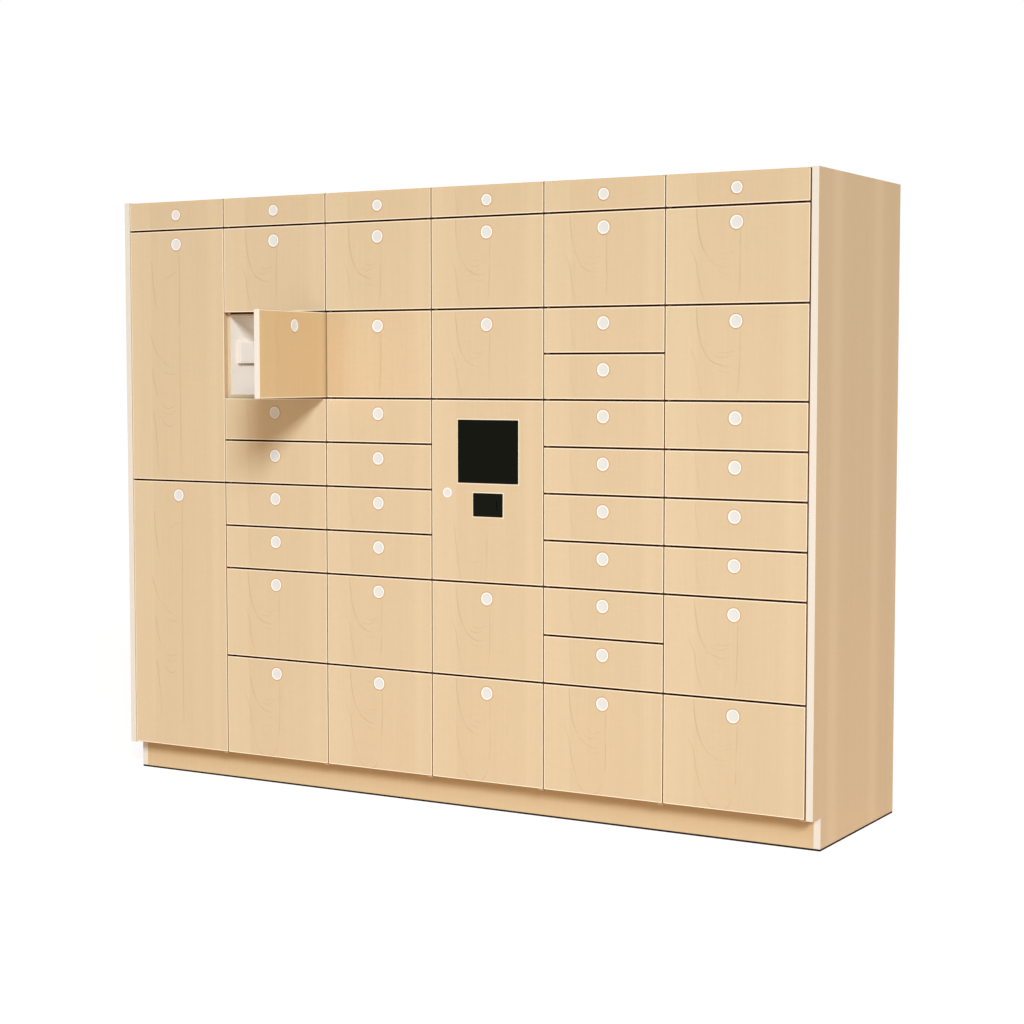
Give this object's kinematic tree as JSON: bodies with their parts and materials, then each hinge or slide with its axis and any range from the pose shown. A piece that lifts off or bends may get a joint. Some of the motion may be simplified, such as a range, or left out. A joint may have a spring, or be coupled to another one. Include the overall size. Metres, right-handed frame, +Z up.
{
  "type": "electronic locker bank",
  "caption": "Wood-faced locker bank in columns of right-hinged doors with round covers, a touchscreen payment terminal and a coin unit in one column, on a recessed plinth.",
  "frame": {"origin": "on the floor at the centre of the footprint, not counting the door that stands open", "axes": "+X to the right along the bank as seen from the front, +Y from the doors to the back panel, +Z up"},
  "size_m": [2.59, 1.0845, 2],
  "materials": {
    "door_laminate": "satin maple laminate, eased edges",
    "panel_laminate": "satin maple laminate with ivory edge bands",
    "interior_board": "light grey melamine, fine texture",
    "plinth_board": "satin maple laminate",
    "hinge_steel": "beige powder coat on the pivot plates, bronze-plated pins and tongues",
    "lock_case": "fine moulded texture",
    "screen_glass": "black glass over a dark housing",
    "terminal_black": "black, semi-matt",
    "lock_metal": "white cap on a steel barrel",
    "coin_box_steel": "grey powder coat"
  },
  "bodies": {
    "carcass": {"side_panels": "panel_laminate", "top_panel": "panel_laminate", "base_panel": "interior_board", "back_panel": "interior_board", "partitions": "interior_board", "shelves": "interior_board", "plinth": "plinth_board", "hinge_plates": "hinge_steel", "lock_units": "lock_case", "coin_box": "coin_box_steel"},
    "console": {"console_door": "door_laminate", "touchscreen": "screen_glass", "coin_unit": "terminal_black"},
    "service_lock": {"console_lock": "lock_metal"},
    "door_col1_1": {"door_col1_1": "door_laminate"},
    "door_col1_2": {"door_col1_2": "door_laminate"},
    "door_col2_1": {"door_col2_1": "door_laminate"},
    "door_col2_2": {"door_col2_2": "door_laminate"},
    "door_col2_3": {"door_col2_3": "door_laminate"},
    "door_col2_4": {"door_col2_4": "door_laminate"},
    "door_col2_5": {"door_col2_5": "door_laminate"},
    "door_col2_6": {"door_col2_6": "door_laminate"},
    "door_col2_7": {"door_col2_7": "door_laminate"},
    "door_col2_8": {"door_col2_8": "door_laminate"},
    "door_col3_1": {"door_col3_1": "door_laminate"},
    "door_col3_2": {"door_col3_2": "door_laminate"},
    "door_col3_3": {"door_col3_3": "door_laminate"},
    "door_col3_4": {"door_col3_4": "door_laminate"},
    "door_col3_5": {"door_col3_5": "door_laminate"},
    "door_col3_6": {"door_col3_6": "door_laminate"},
    "door_col3_7": {"door_col3_7": "door_laminate"},
    "door_col3_8": {"door_col3_8": "door_laminate"},
    "door_col4_1": {"door_col4_1": "door_laminate"},
    "door_col4_2": {"door_col4_2": "door_laminate"},
    "door_col4_3": {"door_col4_3": "door_laminate"},
    "door_col4_4": {"door_col4_4": "door_laminate"},
    "door_col5_1": {"door_col5_1": "door_laminate"},
    "door_col5_2": {"door_col5_2": "door_laminate"},
    "door_col5_3": {"door_col5_3": "door_laminate"},
    "door_col5_4": {"door_col5_4": "door_laminate"},
    "door_col5_5": {"door_col5_5": "door_laminate"},
    "door_col5_6": {"door_col5_6": "door_laminate"},
    "door_col5_7": {"door_col5_7": "door_laminate"},
    "door_col5_8": {"door_col5_8": "door_laminate"},
    "door_col5_9": {"door_col5_9": "door_laminate"},
    "door_col5_10": {"door_col5_10": "door_laminate"},
    "door_col6_1": {"door_col6_1": "door_laminate"},
    "door_col6_2": {"door_col6_2": "door_laminate"},
    "door_col6_3": {"door_col6_3": "door_laminate"},
    "door_col6_4": {"door_col6_4": "door_laminate"},
    "door_col6_5": {"door_col6_5": "door_laminate"},
    "door_col6_6": {"door_col6_6": "door_laminate"},
    "door_col6_7": {"door_col6_7": "door_laminate"},
    "door_col6_8": {"door_col6_8": "door_laminate"},
    "header_door_1": {"header_door_1": "door_laminate"},
    "header_door_2": {"header_door_2": "door_laminate"},
    "header_door_3": {"header_door_3": "door_laminate"},
    "header_door_4": {"header_door_4": "door_laminate"},
    "header_door_5": {"header_door_5": "door_laminate"},
    "header_door_6": {"header_door_6": "door_laminate"}
  },
  "joints": [
    {"name": "door_col2_2_hinge", "type": "hinge", "parent": "carcass", "child": "door_col2_2", "pos_m": [-0.445, -0.333, 1], "axis": [0, 0, 1], "range_deg": [-95, 0]},
    {"name": "console_door_hinge", "type": "hinge", "parent": "carcass", "child": "console", "pos_m": [0.382, -0.333, 1], "axis": [0, 0, 1], "range_deg": [0, 95]},
    {"name": "service_lock_turn", "type": "hinge", "parent": "console", "child": "service_lock", "pos_m": [0.038, -0.34, 1.027], "axis": [0, -1, 0], "range_deg": [0, 90]},
    {"name": "door_col1_1_hinge", "type": "hinge", "parent": "carcass", "child": "door_col1_1", "pos_m": [-0.868, -0.333, 1], "axis": [0, 0, 1], "range_deg": [0, 95]},
    {"name": "door_col3_1_hinge", "type": "hinge", "parent": "carcass", "child": "door_col3_1", "pos_m": [-0.031, -0.333, 1], "axis": [0, 0, 1], "range_deg": [0, 95]},
    {"name": "door_col4_1_hinge", "type": "hinge", "parent": "carcass", "child": "door_col4_1", "pos_m": [0.382, -0.333, 1], "axis": [0, 0, 1], "range_deg": [0, 95]},
    {"name": "door_col5_5_hinge", "type": "hinge", "parent": "carcass", "child": "door_col5_5", "pos_m": [0.799, -0.333, 1], "axis": [0, 0, 1], "range_deg": [0, 95]},
    {"name": "door_col6_8_hinge", "type": "hinge", "parent": "carcass", "child": "door_col6_8", "pos_m": [1.2615, -0.333, 1], "axis": [0, 0, 1], "range_deg": [0, 95]},
    {"name": "header_door_1_hinge", "type": "hinge", "parent": "carcass", "child": "header_door_1", "pos_m": [-0.868, -0.333, 1], "axis": [0, 0, 1], "range_deg": [0, 95]},
    {"name": "header_door_2_hinge", "type": "hinge", "parent": "carcass", "child": "header_door_2", "pos_m": [-0.445, -0.333, 1], "axis": [0, 0, 1], "range_deg": [0, 95]},
    {"name": "header_door_3_hinge", "type": "hinge", "parent": "carcass", "child": "header_door_3", "pos_m": [-0.031, -0.333, 1], "axis": [0, 0, 1], "range_deg": [0, 95]},
    {"name": "header_door_4_hinge", "type": "hinge", "parent": "carcass", "child": "header_door_4", "pos_m": [0.382, -0.333, 1], "axis": [0, 0, 1], "range_deg": [0, 95]},
    {"name": "header_door_5_hinge", "type": "hinge", "parent": "carcass", "child": "header_door_5", "pos_m": [0.799, -0.333, 1], "axis": [0, 0, 1], "range_deg": [0, 95]},
    {"name": "header_door_6_hinge", "type": "hinge", "parent": "carcass", "child": "header_door_6", "pos_m": [1.2615, -0.333, 1], "axis": [0, 0, 1], "range_deg": [0, 95]},
    {"name": "door_col1_2_hinge", "type": "hinge", "parent": "carcass", "child": "door_col1_2", "pos_m": [-0.868, -0.333, 1], "axis": [0, 0, 1], "range_deg": [0, 95]},
    {"name": "door_col2_1_hinge", "type": "hinge", "parent": "carcass", "child": "door_col2_1", "pos_m": [-0.445, -0.333, 1], "axis": [0, 0, 1], "range_deg": [0, 95]},
    {"name": "door_col2_3_hinge", "type": "hinge", "parent": "carcass", "child": "door_col2_3", "pos_m": [-0.445, -0.333, 1], "axis": [0, 0, 1], "range_deg": [0, 95]},
    {"name": "door_col2_4_hinge", "type": "hinge", "parent": "carcass", "child": "door_col2_4", "pos_m": [-0.445, -0.333, 1], "axis": [0, 0, 1], "range_deg": [0, 95]},
    {"name": "door_col2_5_hinge", "type": "hinge", "parent": "carcass", "child": "door_col2_5", "pos_m": [-0.445, -0.333, 1], "axis": [0, 0, 1], "range_deg": [0, 95]},
    {"name": "door_col2_6_hinge", "type": "hinge", "parent": "carcass", "child": "door_col2_6", "pos_m": [-0.445, -0.333, 1], "axis": [0, 0, 1], "range_deg": [0, 95]},
    {"name": "door_col2_7_hinge", "type": "hinge", "parent": "carcass", "child": "door_col2_7", "pos_m": [-0.445, -0.333, 1], "axis": [0, 0, 1], "range_deg": [0, 95]},
    {"name": "door_col2_8_hinge", "type": "hinge", "parent": "carcass", "child": "door_col2_8", "pos_m": [-0.445, -0.333, 1], "axis": [0, 0, 1], "range_deg": [0, 95]},
    {"name": "door_col3_2_hinge", "type": "hinge", "parent": "carcass", "child": "door_col3_2", "pos_m": [-0.031, -0.333, 1], "axis": [0, 0, 1], "range_deg": [0, 95]},
    {"name": "door_col3_3_hinge", "type": "hinge", "parent": "carcass", "child": "door_col3_3", "pos_m": [-0.031, -0.333, 1], "axis": [0, 0, 1], "range_deg": [0, 95]},
    {"name": "door_col3_4_hinge", "type": "hinge", "parent": "carcass", "child": "door_col3_4", "pos_m": [-0.031, -0.333, 1], "axis": [0, 0, 1], "range_deg": [0, 95]},
    {"name": "door_col3_5_hinge", "type": "hinge", "parent": "carcass", "child": "door_col3_5", "pos_m": [-0.031, -0.333, 1], "axis": [0, 0, 1], "range_deg": [0, 95]},
    {"name": "door_col3_6_hinge", "type": "hinge", "parent": "carcass", "child": "door_col3_6", "pos_m": [-0.031, -0.333, 1], "axis": [0, 0, 1], "range_deg": [0, 95]},
    {"name": "door_col3_7_hinge", "type": "hinge", "parent": "carcass", "child": "door_col3_7", "pos_m": [-0.031, -0.333, 1], "axis": [0, 0, 1], "range_deg": [0, 95]},
    {"name": "door_col3_8_hinge", "type": "hinge", "parent": "carcass", "child": "door_col3_8", "pos_m": [-0.031, -0.333, 1], "axis": [0, 0, 1], "range_deg": [0, 95]},
    {"name": "door_col4_2_hinge", "type": "hinge", "parent": "carcass", "child": "door_col4_2", "pos_m": [0.382, -0.333, 1], "axis": [0, 0, 1], "range_deg": [0, 95]},
    {"name": "door_col4_3_hinge", "type": "hinge", "parent": "carcass", "child": "door_col4_3", "pos_m": [0.382, -0.333, 1], "axis": [0, 0, 1], "range_deg": [0, 95]},
    {"name": "door_col4_4_hinge", "type": "hinge", "parent": "carcass", "child": "door_col4_4", "pos_m": [0.382, -0.333, 1], "axis": [0, 0, 1], "range_deg": [0, 95]},
    {"name": "door_col5_1_hinge", "type": "hinge", "parent": "carcass", "child": "door_col5_1", "pos_m": [0.799, -0.333, 1], "axis": [0, 0, 1], "range_deg": [0, 95]},
    {"name": "door_col5_2_hinge", "type": "hinge", "parent": "carcass", "child": "door_col5_2", "pos_m": [0.799, -0.333, 1], "axis": [0, 0, 1], "range_deg": [0, 95]},
    {"name": "door_col5_3_hinge", "type": "hinge", "parent": "carcass", "child": "door_col5_3", "pos_m": [0.799, -0.333, 1], "axis": [0, 0, 1], "range_deg": [0, 95]},
    {"name": "door_col5_4_hinge", "type": "hinge", "parent": "carcass", "child": "door_col5_4", "pos_m": [0.799, -0.333, 1], "axis": [0, 0, 1], "range_deg": [0, 95]},
    {"name": "door_col5_6_hinge", "type": "hinge", "parent": "carcass", "child": "door_col5_6", "pos_m": [0.799, -0.333, 1], "axis": [0, 0, 1], "range_deg": [0, 95]},
    {"name": "door_col5_7_hinge", "type": "hinge", "parent": "carcass", "child": "door_col5_7", "pos_m": [0.799, -0.333, 1], "axis": [0, 0, 1], "range_deg": [0, 95]},
    {"name": "door_col5_8_hinge", "type": "hinge", "parent": "carcass", "child": "door_col5_8", "pos_m": [0.799, -0.333, 1], "axis": [0, 0, 1], "range_deg": [0, 95]},
    {"name": "door_col5_9_hinge", "type": "hinge", "parent": "carcass", "child": "door_col5_9", "pos_m": [0.799, -0.333, 1], "axis": [0, 0, 1], "range_deg": [0, 95]},
    {"name": "door_col5_10_hinge", "type": "hinge", "parent": "carcass", "child": "door_col5_10", "pos_m": [0.799, -0.333, 1], "axis": [0, 0, 1], "range_deg": [0, 95]},
    {"name": "door_col6_1_hinge", "type": "hinge", "parent": "carcass", "child": "door_col6_1", "pos_m": [1.2615, -0.333, 1], "axis": [0, 0, 1], "range_deg": [0, 95]},
    {"name": "door_col6_2_hinge", "type": "hinge", "parent": "carcass", "child": "door_col6_2", "pos_m": [1.2615, -0.333, 1], "axis": [0, 0, 1], "range_deg": [0, 95]},
    {"name": "door_col6_3_hinge", "type": "hinge", "parent": "carcass", "child": "door_col6_3", "pos_m": [1.2615, -0.333, 1], "axis": [0, 0, 1], "range_deg": [0, 95]},
    {"name": "door_col6_4_hinge", "type": "hinge", "parent": "carcass", "child": "door_col6_4", "pos_m": [1.2615, -0.333, 1], "axis": [0, 0, 1], "range_deg": [0, 95]},
    {"name": "door_col6_5_hinge", "type": "hinge", "parent": "carcass", "child": "door_col6_5", "pos_m": [1.2615, -0.333, 1], "axis": [0, 0, 1], "range_deg": [0, 95]},
    {"name": "door_col6_6_hinge", "type": "hinge", "parent": "carcass", "child": "door_col6_6", "pos_m": [1.2615, -0.333, 1], "axis": [0, 0, 1], "range_deg": [0, 95]},
    {"name": "door_col6_7_hinge", "type": "hinge", "parent": "carcass", "child": "door_col6_7", "pos_m": [1.2615, -0.333, 1], "axis": [0, 0, 1], "range_deg": [0, 95]}
  ]
}
